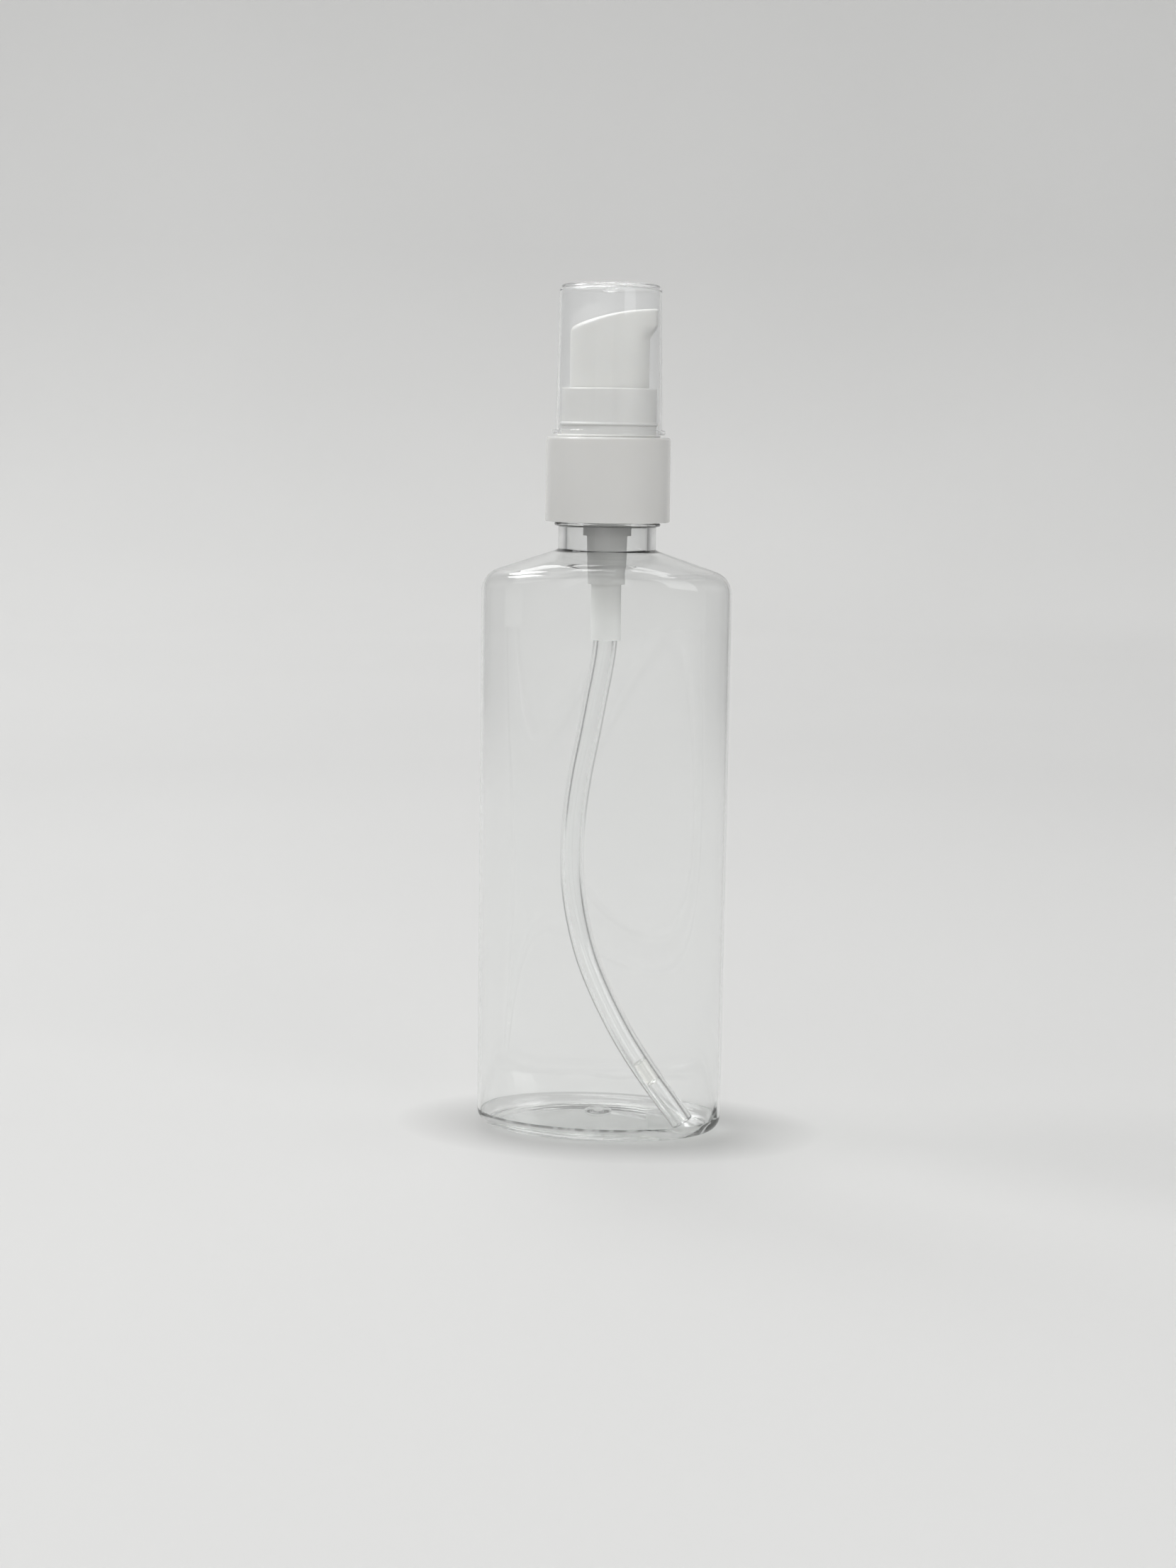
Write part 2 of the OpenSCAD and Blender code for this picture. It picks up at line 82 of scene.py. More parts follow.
def make_camera():
    toward = Vector((math.sin(CAMERA_AZIMUTH), -math.cos(CAMERA_AZIMUTH), 0))
    right = Vector((math.cos(CAMERA_AZIMUTH), math.sin(CAMERA_AZIMUTH), 0))
    eye = toward * CAMERA_DISTANCE + Vector((0, 0, CAMERA_HEIGHT))
    drop = math.tan(CAMERA_PITCH) * CAMERA_DISTANCE
    target = -right * CAMERA_ASIDE + Vector((0, 0, CAMERA_HEIGHT - drop))
    data = bpy.data.cameras.new("camera")
    data.lens, data.sensor_width = LENS, SENSOR
    data.clip_start, data.clip_end = 0.01, 20
    camera = bpy.data.objects.new("camera", data)
    camera.matrix_world = Matrix.Translation(eye) @ aim(eye, target, CAMERA_ROLL).to_4x4()
    bpy.context.scene.collection.objects.link(camera)
    bpy.context.scene.camera = camera


make_camera()

# ---- mesh helpers ----


def mesh_object(name, verts, faces, angle=35):
    """A smooth mesh whose edges are sharp where its faces meet at more than angle degrees."""
    mesh = bpy.data.meshes.new(name)
    mesh.from_pydata([tuple(v) for v in np.asarray(verts) * MM], [], faces)
    mesh.validate()
    mesh.shade_smooth()
    mesh.set_sharp_from_angle(angle=math.radians(angle))
    obj = bpy.data.objects.new(name, mesh)
    bpy.context.scene.collection.objects.link(obj)
    return obj


def skin(name, rings, loop=False, angle=35):
    """A closed surface through rings of points; a ring of one point is a pole, and loop joins the
    last ring to the first."""
    verts, starts = [], []
    for r in rings:
        starts.append(len(verts))
        verts.extend(np.asarray(r, float).reshape(-1, 3))
    faces = []
    pairs = list(range(len(rings) - 1)) + ([-1] if loop else [])
    for i in pairs:
        a, b = starts[i], starts[i + 1]
        na, nb = len(rings[i]), len(rings[i + 1])
        n = max(na, nb)
        for j in range(n):
            k = (j + 1) % n
            if na == 1:
                faces.append((a, b + k, b + j))
            elif nb == 1:
                faces.append((a + j, a + k, b))
            else:
                faces.append((a + j, a + k, b + k, b + j))
    obj = mesh_object(name, verts, faces, angle)
    outward(obj)
    return obj


def outward(obj):
    """Turns the faces of a closed mesh so that its volume is positive."""
    mesh = obj.data
    mesh.calc_loop_triangles()
    co = np.array([v.co for v in mesh.vertices])
    t = np.array([t.vertices[:] for t in mesh.loop_triangles])
    volume = np.einsum("ij,ij->i", co[t[:, 0]], np.cross(co[t[:, 1]], co[t[:, 2]])).sum()
    if volume < 0:
        mesh.flip_normals()


def rounded(points, loop=True, per_right_angle=6):
    """Points (r, z) or (r, z, fillet): each corner with a fillet becomes an arc."""
    out, n = [], len(points)
    for i, p in enumerate(points):
        here = np.array(p[:2], float)
        fillet = p[2] if len(p) > 2 else 0
        if fillet <= 0 or (not loop and i in (0, n - 1)):
            out.append(tuple(here))
            continue
        u = np.array(points[i - 1][:2], float) - here
        v = np.array(points[(i + 1) % n][:2], float) - here
        lu, lv = np.linalg.norm(u), np.linalg.norm(v)
        u, v = u / lu, v / lv
        half = math.acos(max(-1, min(1, float(u @ v)))) / 2
        if half > 1.5:
            out.append(tuple(here))
            continue
        t = min(fillet / math.tan(half), 0.49 * lu, 0.49 * lv)
        fillet = t * math.tan(half)
        mid = (u + v) / np.linalg.norm(u + v)
        centre = here + mid * fillet / math.sin(half)
        a0 = math.atan2(*(here + u * t - centre)[::-1])
        a1 = math.atan2(*(here + v * t - centre)[::-1])
        sweep = (a1 - a0 + math.pi) % (2 * math.pi) - math.pi
        steps = max(2, round(abs(sweep) / (math.pi / 2) * per_right_angle))
        for k in range(steps + 1):
            a = a0 + sweep * k / steps
            out.append((centre[0] + fillet * math.cos(a), centre[1] + fillet * math.sin(a)))
    return out


def turned(r, z, angles):
    r = np.broadcast_to(r, angles.shape)
    return np.stack([r * np.cos(angles), r * np.sin(angles), np.full(angles.shape, float(z))], 1)


def around(n):
    return np.arange(n) * 2 * math.pi / n


def lathe(name, points, n=160, loop=True, warp=None, angle=35):
    """Turns a profile about the pump's axis. warp(angles, r, z) gives what is added to the
    radius of a profile point. A profile that isn't a loop starts and ends on the axis."""
    angles = around(n)
    rings = []
    for r, z in rounded(points, loop):
        if r < 1e-6:
            rings.append([(0, 0, z)])
        else:
            rings.append(turned(r + (warp(angles, r, z) if warp else 0), z, angles))
    return skin(name, rings, loop, angle)


def levels(z0, z1, step):
    """Even heights from z0 to z1, no further apart than step."""
    n = max(1, math.ceil(abs(z1 - z0) / step))
    return [z0 + (z1 - z0) * i / n for i in range(n + 1)]


def smoothstep(t):
    t = np.clip(t, 0, 1)
    return t * t * (3 - 2 * t)


# ---- screw thread shared by the neck and the closure ----

NECK_TOP = BOTTLE[1][2]
NECK_BASE = NECK_TOP - 21.6
NECK_R, BORE_R = 10.75, 8.85
PITCH, TURNS, FADE_TURNS = 3.175, 1.5, 1 / 6
THREAD_STEP = 0.14
THREAD_Z = NECK_TOP - 6.7


def thread(angles, z, z0, root, crest, reach):
    """Height of a trapezoid ridge that climbs from z0, faded in and out over 60 degrees. root and
    crest are the half widths of the ridge at its foot and at its top."""
    high = np.zeros(angles.shape)
    for lap in (0, 1):
        s = angles / (2 * math.pi) + lap
        off = np.abs(z - (z0 + PITCH * s))
        ridge = np.clip((root - off) / (root - crest), 0, 1)
        fade = np.clip(np.minimum(s, TURNS - s) / FADE_TURNS, 0, 1)
        high = np.maximum(high, np.where(s <= TURNS, ridge * smoothstep(fade), 0))
    return reach * high


# ---- bottle ----

HALF_W, HALF_D = BOTTLE[1][0], BOTTLE[1][1]
WALL, FOOT_R, FOOT_FLAT, PUSH_UP, FLOOR = 0.75, 3.4, 0.5, 2.6, 0.95
SLOPE_W, SLOPE_D, CORNER_W, CORNER_D = 18.5, 35, 5.2, 4
SHOULDER_EASE = 0.03
BEAD_Z, BEAD_R, BEAD_REACH = NECK_BASE + 5.6, 0.32, NECK_R + 0.93
# the push-up's rings are circles as far out as GATE_RING, for the share GATE_SHARE of them
GATE_RING, GATE_SHARE = 4.2, 0.45
# inside, the foot is thicker by up to FOOT_FILL, but not at the tube's end, which stands at
# TUBE_SIDE degrees and takes up about TUBE_SPREAD to either side
FOOT_FILL, TUBE_SIDE, TUBE_SPREAD = 0.9, 325, 24


def body_half(z, half, slope, r):
    """Half width at height z: straight wall, corner arc, then a shoulder that slopes by slope
    degrees and eases into the neck."""
    s = math.radians(slope)
    arc_z = NECK_BASE - (half - NECK_R) * math.tan(s) - r * math.tan((math.pi / 2 - s) / 2)
    if z <= arc_z:
        return half
    if z <= arc_z + r * math.cos(s):
        return half - r + math.sqrt(max(0, r * r - (z - arc_z) ** 2))
    cone = (NECK_BASE - z) / math.tan(s)
    return NECK_R + (cone + math.sqrt(cone * cone + SHOULDER_EASE)) / 2


def ellipse(a, b, z, angles):
    z = np.broadcast_to(z, angles.shape)
    return np.stack([a * np.cos(angles), b * np.sin(angles), z], 1)


def base_rings(a_end, b_end, low, angles, count, disc_r, disc_h, dome=1.0, keep=0):
    """Rings of the push-up from its middle outward: circles round the gate, then ovals. The gate
    is a small disc of height disc_h. A dome below 1 makes the push-up fuller, except where keep
    is 1."""
    rings = []
    for i in range(1, count + 1):
        s = i / count
        if s <= GATE_SHARE:
            a = b = GATE_RING * s / GATE_SHARE
        else:
            f = (s - GATE_SHARE) / (1 - GATE_SHARE)
            a, b = GATE_RING + (a_end - GATE_RING) * f, GATE_RING + (b_end - GATE_RING) * f
        x, y = a * np.cos(angles), b * np.sin(angles)
        fall = np.clip(1 - (x / a_end) ** 2 - (y / b_end) ** 2, 0, 1)
        fall = keep * fall + (1 - keep) * fall ** dome
        near = np.sqrt(x * x + y * y)
        z = low + PUSH_UP * fall + disc_h * smoothstep((disc_r + 0.25 - near) / 0.5)
        rings.append(np.stack([x, y, z], 1))
    top = [(0, 0, low + PUSH_UP + disc_h)]
    return [top] + rings


def make_bottle():
    """The outside from the middle of the base up to the lip, then the inside down again."""
    angles = around(192)
    rings = base_rings(HALF_W - FOOT_R - FOOT_FLAT, HALF_D - FOOT_R - FOOT_FLAT, 0, angles, 34,
                       disc_r=1.3, disc_h=-0.4)
    rings.append(ellipse(HALF_W - FOOT_R, HALF_D - FOOT_R, 0, angles))
    for i in range(1, 13):
        a = math.radians(90 * i / 12)
        inset = FOOT_R * (1 - math.sin(a))
        rings.append(ellipse(HALF_W - inset, HALF_D - inset, FOOT_R * (1 - math.cos(a)), angles))
    # wide steps up the straight body, fine ones round the shoulder
    heights = levels(8, 118, 10) + levels(120, NECK_BASE + 1.6, 0.3)
    for z in heights:
        rings.append(ellipse(body_half(z, HALF_W, SLOPE_W, CORNER_W),
                             body_half(z, HALF_D, SLOPE_D, CORNER_D), z, angles))
    low, high = BEAD_Z - BEAD_R, BEAD_Z + BEAD_R
    neck = rounded([
        (NECK_R, NECK_BASE + 2), (NECK_R, low, 0.15), (BEAD_REACH, low, 0.3),
        (BEAD_REACH, high, 0.3), (NECK_R, high, 0.15), (NECK_R, THREAD_Z - 1.3)], loop=False)
    for r, z in neck:
        rings.append(turned(r, z, angles))
    for z in levels(THREAD_Z - 1.2, THREAD_Z + PITCH * TURNS + 1.2, THREAD_STEP):
        ridge = thread(angles, z, THREAD_Z, root=0.9, crest=0.42, reach=1.08)
        rings.append(turned(NECK_R + ridge, z, angles))
    lip = rounded([
        (NECK_R, THREAD_Z + PITCH * TURNS + 1.25), (NECK_R, NECK_TOP, 0.35),
        (BORE_R, NECK_TOP, 0.25), (BORE_R, NECK_TOP - 3)], loop=False)
    for r, z in lip:
        rings.append(turned(r, z, angles))
    rings.append(turned(BORE_R, NECK_BASE + 3, angles))
    # the bore runs down to the inside of the shoulder, whose wall is thicker near the neck
    fall = (math.tan(math.radians(SLOPE_W)) * np.cos(angles) ** 2
            + math.tan(math.radians(SLOPE_D)) * np.sin(angles) ** 2)
    wall = np.maximum(WALL, (NECK_R - BORE_R) * fall + 0.1)
    root = ((BORE_R, 0.3), (BORE_R + 0.02, 0.14), (BORE_R + 0.1, 0.03),
            (9.2, 0), (9.7, 0), (10.3, 0))
    for r, lift in root:
        z = NECK_BASE - wall + (NECK_R - r) * fall + lift
        rings.append(np.column_stack([r * np.cos(angles), r * np.sin(angles), z]))
    for z in levels(NECK_BASE - 0.88, 119, 0.3) + levels(117, 8, 10):
        ring = ellipse(body_half(z + WALL, HALF_W - WALL, SLOPE_W, CORNER_W - WALL),
                       body_half(z + WALL, HALF_D - WALL, SLOPE_D, CORNER_D - WALL), z, angles)
        ring[:, 2] -= (wall - WALL) * smoothstep((z - NECK_BASE + 10) / 9.5)
        rings.append(ring)
    from_tube = (np.degrees(angles) - TUBE_SIDE + 180) % 360 - 180
    by_tube = np.exp(-(from_tube / TUBE_SPREAD) ** 2)
    thick = FOOT_FILL * (1 - by_tube)
    for i in range(13):
        a = math.radians(90 * i / 12)
        inset = WALL + (FOOT_R - WALL) * (1 - math.cos(a))
        z = FOOT_R - (FOOT_R - FLOOR) * math.sin(a)
        ring = ellipse(HALF_W - inset, HALF_D - inset, z, angles)
        push = thick * math.sin(2 * a)
        ring[:, 0] -= push * np.cos(angles)
        ring[:, 1] -= push * np.sin(angles)
        ring[:, 2] += push
        rings.append(ring)
    floor = base_rings(HALF_W - FOOT_R, HALF_D - FOOT_R, FLOOR, angles, 30,
                       disc_r=2.6, disc_h=0.35, dome=0.7, keep=by_tube)
    rings += floor[::-1][1:]
    return skin("bottle_shell", rings, angle=50)


# ---- closure, collar ring, overcap ----

WALL_R = NECK_R + 1.4
PLATE_HOLE_R, PLATE_THICK = 8.6, 1.06


def make_closure():
    z0, z1, r = CLOSURE[0][2], CLOSURE[1][2], CLOSURE[1][0]
    plate = z1 - PLATE_THICK
    t0 = THREAD_Z - PITCH / 2 + 0.15
    zone = levels(t0 - 1.0, t0 + PITCH * TURNS + 1.0, THREAD_STEP)
    profile = [(WALL_R, z0 + 0.3, 0), (WALL_R + 0.3, z0, 0.12), (r, z0, 0.25), (r - 0.12, z1, 0.7),
               (PLATE_HOLE_R, z1, 0.15), (PLATE_HOLE_R, plate, 0.12), (WALL_R, plate, 0.3)]
    profile += [(WALL_R, z) for z in reversed(zone)]

    def inside(angles, radius, z):
        on_wall = abs(radius - WALL_R) < 1e-6 and zone[0] <= z <= zone[-1]
        return -thread(angles, z, t0, root=0.76, crest=0.33, reach=1.05) if on_wall else 0

    return lathe("closure_shell", profile, n=192, warp=inside)


def make_collar():
    z0, z1 = COLLAR[0][2], COLLAR[1][2]
    top = CLOSURE[1][2] + 0.02
    r, well, floor, guide = 10.4, 8.95, top + 3.5, 2.53
    flange_top = NECK_TOP + 1.9
    web = flange_top + 3.4
    seal = flange_top + 1.1
    return lathe("collar_shell", [
        (guide, seal, 0.1), (5.75, seal, 0.15), (5.75, web, 0.15), (7.05, web, 0.15),
        (7.05, flange_top + 0.1, 0.1), (PLATE_HOLE_R - 0.1, flange_top + 0.1, 0.15),
        (PLATE_HOLE_R - 0.1, top, 0.05), (r + 0.9, top, 0.12), (r + 0.9, top + 0.45, 0.18),
        (r, top + 0.45, 0.15), (r, top + 2.3, 0.2), (r + 0.4, top + 2.55, 0.2),
        (r + 0.4, top + 2.85, 0.2), (r, top + 3.1, 0.2), (r, z1, 0.32), (well, z1, 0.25),
        (well, floor, 0.3), (guide, floor, 0.15)])


def make_overcap():
    """From the gate mark out over the top, down to the lip and up again inside."""
    z0, z1, lip = CAP[0][2], CAP[1][2], CAP[1][0]
    inside, collar_top, fit_r = z1 - 0.9, COLLAR[1][2], 10.88
    return lathe("overcap_shell", [
        (0, z1 - 0.3), (0.95, z1 - 0.3, 0.12), (1.15, z1, 0.1), (11.1, z1, 1.3),
        (11.7, z0 + 1, 0.15), (lip, z0 + 1, 0.25), (lip, z0, 0.3), (fit_r, z0, 0.25),
        (fit_r, collar_top, 0.6), (10.55, inside, 0.9), (2.0, inside, 0.3),
        (1.6, inside - 0.55, 0.4), (0.8, inside - 0.85, 0.5), (0, inside - 0.95)],
        n=192, loop=False)


# ---- actuator ----

TIP_HALF, REACH = 2.2, HEAD[1][0]
HEAD_R = HEAD[1][1]
SPOUT_TOP = 182.8
# the top falls away from the spout's edge by a slope and a curve, with a dish for the finger
TOP_SLOPE, TOP_CURVE = 0.09, 0.0069
DISH_DEPTH, DISH_BACK, DISH_STRETCH, DISH_SPREAD, DISH_EASE = 0.55, 2.2, 1.07, 52, 0.003
ORIFICE_Z, ORIFICE_R = SPOUT_TOP - 1.6, 0.75
LIP_Z, CHIN_Z = SPOUT_TOP - 3.7, SPOUT_TOP - 6.5


def head_top(x):
    return SPOUT_TOP - TOP_SLOPE * (REACH - x) - TOP_CURVE * (REACH - x) ** 2


def finger_dish(x, y):
    d = DISH_DEPTH - ((x + DISH_BACK) ** 2 * DISH_STRETCH + y ** 2) / DISH_SPREAD
    return (d + np.sqrt(d * d + DISH_EASE)) / 2


def spout_outline(angles):
    """Radius of the head seen from above, with its corners eased."""
    tangent = math.acos(HEAD_R / math.hypot(REACH, TIP_HALF)) + math.atan(TIP_HALF / REACH)
    fine = np.linspace(-math.pi, math.pi, 2881)[:-1]
    a = np.abs(fine)
    touch = HEAD_R * np.array([math.cos(tangent), math.sin(tangent)])
    tip = np.array([REACH + 0.3, TIP_HALF])
    edge = tip - touch
    normal = np.array([-edge[1], edge[0]]) / np.linalg.norm(edge)
    straight = (touch @ normal) / np.maximum(1e-6, np.cos(a) * normal[0] + np.sin(a) * normal[1])
    r = np.where(a < tangent, np.minimum(REACH, straight), HEAD_R)
    half, spread = 40, 13.0
    window = np.exp(-0.5 * (np.arange(-half, half + 1) / spread) ** 2)
    window /= window.sum()
    r = np.convolve(np.concatenate([r[-half:], r, r[:half]]), window, "valid")
    wrapped = (angles + math.pi) % (2 * math.pi) - math.pi
    return np.interp(wrapped, fine, r, period=2 * math.pi)


def make_actuator():
    u = around(288)
    angles = u - 0.5 * np.sin(u)  # closer together round the spout
    z0 = HEAD[0][2]
    top_r = spout_outline(angles)
    from_spout = np.abs((angles + math.pi) % (2 * math.pi) - math.pi)
    edge = 0.55 + 0.55 * smoothstep((from_spout - 0.9) / 1.6)

    def side(z):
        t = np.clip((z - CHIN_Z) / (LIP_Z - CHIN_Z), 0, 1)
        t = 0.5 * t + 0.5 * smoothstep(t)
        return HEAD_R + (top_r - HEAD_R) * t

    def at(r, z):
        z = np.broadcast_to(z, angles.shape)
        return np.stack([r * np.cos(angles), r * np.sin(angles), z], 1)

    outline = at(top_r, 0)[:, :2]
    along = np.roll(outline, -1, 0) - np.roll(outline, 1, 0)
    inward = np.stack([-along[:, 1], along[:, 0]], 1) / np.linalg.norm(along, axis=1)[:, None]
    side_top = head_top(outline[:, 0]) - edge
    hub, skirt, socket = 3.9, HEAD_R - 0.9, 2.5
    roof = float(head_top(-HEAD_R)) - 3
    hub_z, ceiling = z0 + 0.4, STEM[1][2] + 0.2
    straight, side_steps, edge_steps, top_steps = 2, 49, 8, 34
    rings = [[(0, 0, ceiling)]]
    inner = rounded([
        (0, ceiling), (socket, ceiling, 0.2), (socket, hub_z, 0.25), (hub, hub_z, 0.25),
        (hub, roof, 0.5), (skirt, roof, 0.5), (skirt, z0, 0.25), (HEAD_R, z0, 0.3),
        (HEAD_R, z0 + straight)], loop=False)
    rings += [at(r, z) for r, z in inner[1:]]
    for i in range(1, side_steps + 1):
        z = z0 + straight + (side_top - z0 - straight) * i / side_steps
        rings.append(at(side(z), z))
    for i in range(1, edge_steps + 1):
        a = math.pi / 2 * i / edge_steps
        p = outline + inward * (edge * (1 - math.cos(a)))[:, None]
        dish = finger_dish(p[:, 0], p[:, 1]) * (i / edge_steps)
        z = head_top(p[:, 0]) - edge * (1 - math.sin(a)) - dish
        rings.append(np.column_stack([p, z]))
    rim = rings[-1][:, :2]
    for i in range(1, top_steps):
        p = rim * (1 - i / top_steps)
        rings.append(np.column_stack([p, head_top(p[:, 0]) - finger_dish(p[:, 0], p[:, 1])]))
    rings.append([(0, 0, float(head_top(0) - finger_dish(0, 0)))])
    head = skin("actuator_head", rings, angle=40)
    knee = Vector((7.4, 0, ORIFICE_Z))
    start = Vector((0, 0, ceiling - 0.4))
    bore(head, start, knee, ORIFICE_R - 0.05)
    bore(head, knee - Vector((0.2, 0, 0)), Vector((REACH + 1, 0, ORIFICE_Z)), ORIFICE_R)
    return head


def bore(obj, start, end, radius):
    """Cuts a round channel from start to end, in millimetres."""
    axis = (end - start).normalized()
    turn = axis.to_track_quat("Z", "Y").to_matrix()
    ring = [Vector((math.cos(a), math.sin(a), 0)) * radius for a in around(32)]
    low = [start + turn @ p for p in ring]
    high = [end + turn @ p for p in ring]
    tool = skin("tool", [[start], low, high, [end]])
    cut = obj.modifiers.new("bore", "BOOLEAN")
    cut.operation, cut.solver, cut.object = "DIFFERENCE", "EXACT", tool
    mesh = bpy.data.meshes.new_from_object(obj.evaluated_get(bpy.context.evaluated_depsgraph_get()))
    obj.modifiers.remove(cut)
    obj.data = mesh
    mesh.shade_smooth()
    mesh.set_sharp_from_angle(angle=math.radians(40))
    bpy.data.objects.remove(tool)


# ---- dip tube, liquid, spring ----

TUBE_ROUTE = np.array([
    (0, 0, 120.8), (0, 0, 115), (-0.1, 0, 110), (-0.9, 0, 104), (-2, 0, 98), (-3.4, 0, 90),
    (-5.1, 0, 81), (-6.3, 0, 72), (-6.7, -0.1, 65), (-6.6, -0.4, 58.5), (-5.9, -0.8, 52),
    (-4.6, -1.5, 45.8), (-2.7, -2.3, 39.5), (0, -3.2, 33.2), (3.2, -4.1, 27), (7, -5, 20.6),
    (11.5, -5.9, 14.2), (16, -6.6, 8.4), (19.6, -7.1, 3.5)])
TUBE_R, TUBE_BORE, CUT_EASE = 2.65, 1.55, 0.07
SLUG_LOW, SLUG_HIGH, MENISCUS = 12.1, 17.4, 0.8


def spline(points, per_span):
    """A smooth curve through the points, by cubic Hermite spans with chord-length spacing."""
    p = np.asarray(points, float)
    gaps = np.linalg.norm(np.diff(p, axis=0), axis=1)
    slope = np.diff(p, axis=0) / gaps[:, None]
    tangent = np.empty_like(p)
    tangent[0], tangent[-1] = slope[0], slope[-1]
    w = gaps[1:, None] / (gaps[:-1] + gaps[1:])[:, None]
    tangent[1:-1] = slope[:-1] * w + slope[1:] * (1 - w)
    out = []
    for i, g in enumerate(gaps):
        for k in range(per_span):
            t = k / per_span
            h = (2 * t ** 3 - 3 * t ** 2 + 1, t ** 3 - 2 * t ** 2 + t,
                 3 * t ** 2 - 2 * t ** 3, t ** 3 - t ** 2)
            out.append(h[0] * p[i] + h[1] * g * tangent[i]
                       + h[2] * p[i + 1] + h[3] * g * tangent[i + 1])
    out.append(p[-1])
    return np.array(out)


def pipe_frames(path):
    """Directions across the path that never twist."""
    tangent = np.gradient(path, axis=0)
    tangent /= np.linalg.norm(tangent, axis=1)[:, None]
    side = np.array([0.0, 1.0, 0.0])
    frames = []
    for t in tangent:
        side = side - t * (side @ t)
        side /= np.linalg.norm(side)
        frames.append((t, side, np.cross(t, side)))
    return frames


def pipe_rings(path, frames, radius, angles):
    radius = np.broadcast_to(radius, len(path))
    return [p + r * (np.cos(angles)[:, None] * s + np.sin(angles)[:, None] * c)
            for p, (_, s, c), r in zip(path, frames, radius)]


def make_tube():
    path = spline(TUBE_ROUTE, 9)
    frames = pipe_frames(path)
    angles = around(40)
    outer = pipe_rings(path, frames, TUBE_R, angles)
    inner = pipe_rings(path, frames, TUBE_BORE, angles)
    # soften both cut ends
    for rings, r in ((outer, TUBE_R - CUT_EASE), (inner, TUBE_BORE + CUT_EASE)):
        for end in (0, -1):
            t = frames[end][0] * (CUT_EASE if end == 0 else -CUT_EASE)
            s, c = frames[end][1], frames[end][2]
            ring = np.cos(angles)[:, None] * s + np.sin(angles)[:, None] * c
            full = TUBE_R if rings is outer else TUBE_BORE
            rings.insert(1 if end == 0 else len(rings) - 1, path[end] + t + full * ring)
            rings[end] = path[end] + r * ring
    return skin("dip_tube_skin", outer + inner[::-1], loop=True, angle=40)


def make_slug():
    """A little oil held in the tube's bore, with a hollow meniscus at each end."""
    path = spline(TUBE_ROUTE, 9)
    keep = (path[:, 2] < SLUG_HIGH) & (path[:, 2] > SLUG_LOW)
    first, last = np.flatnonzero(keep)[[0, -1]]
    frames = pipe_frames(path)[first:last + 1]
    path = path[first:last + 1]
    angles = around(40)
    r = TUBE_BORE - 0.015
    rings = pipe_rings(path, frames, r, angles)
    cap = []
    for end, s in ((0, 1), (-1, -1)):
        t, a, b = frames[end]
        ring = np.cos(angles)[:, None] * a + np.sin(angles)[:, None] * b
        rows = [[path[end] + s * t * MENISCUS]]
        for k in range(1, 7):
            f = k / 7
            rows.append(path[end] + s * t * MENISCUS * (1 - f * f) + ring * r * f)
        cap.append(rows)
    return skin("oil_in_tube", cap[0] + rings + cap[1][::-1], angle=50)


def make_spring():
    """The wound spring at its resting length, with flat end turns."""
    wire, radius, coils, steps = 0.32, 2.75, 7.5, 36
    low, high = SPRING[0][2] + wire, SPRING[1][2] - wire
    flat = 2 * wire + 0.04
    turn = np.arange(0, round(coils * steps) + 1) / steps
    z = np.where(turn < 1, low + flat * turn, np.where(
        turn > coils - 1, high - flat * (coils - turn),
        low + flat + (high - low - 2 * flat) * (turn - 1) / (coils - 2)))
    a = 2 * math.pi * turn
    path = np.stack([radius * np.cos(a), radius * np.sin(a), z], 1)
    out = np.stack([np.cos(a), np.sin(a), 0 * a], 1)
    ring = around(12)
    rings = [p + wire * (np.cos(ring)[:, None] * o + np.sin(ring)[:, None] * (0, 0, 1))
             for p, o in zip(path, out)]
    return skin("spring_coil", [[path[0]]] + rings + [[path[-1]]], angle=60)


# ---- materials ----


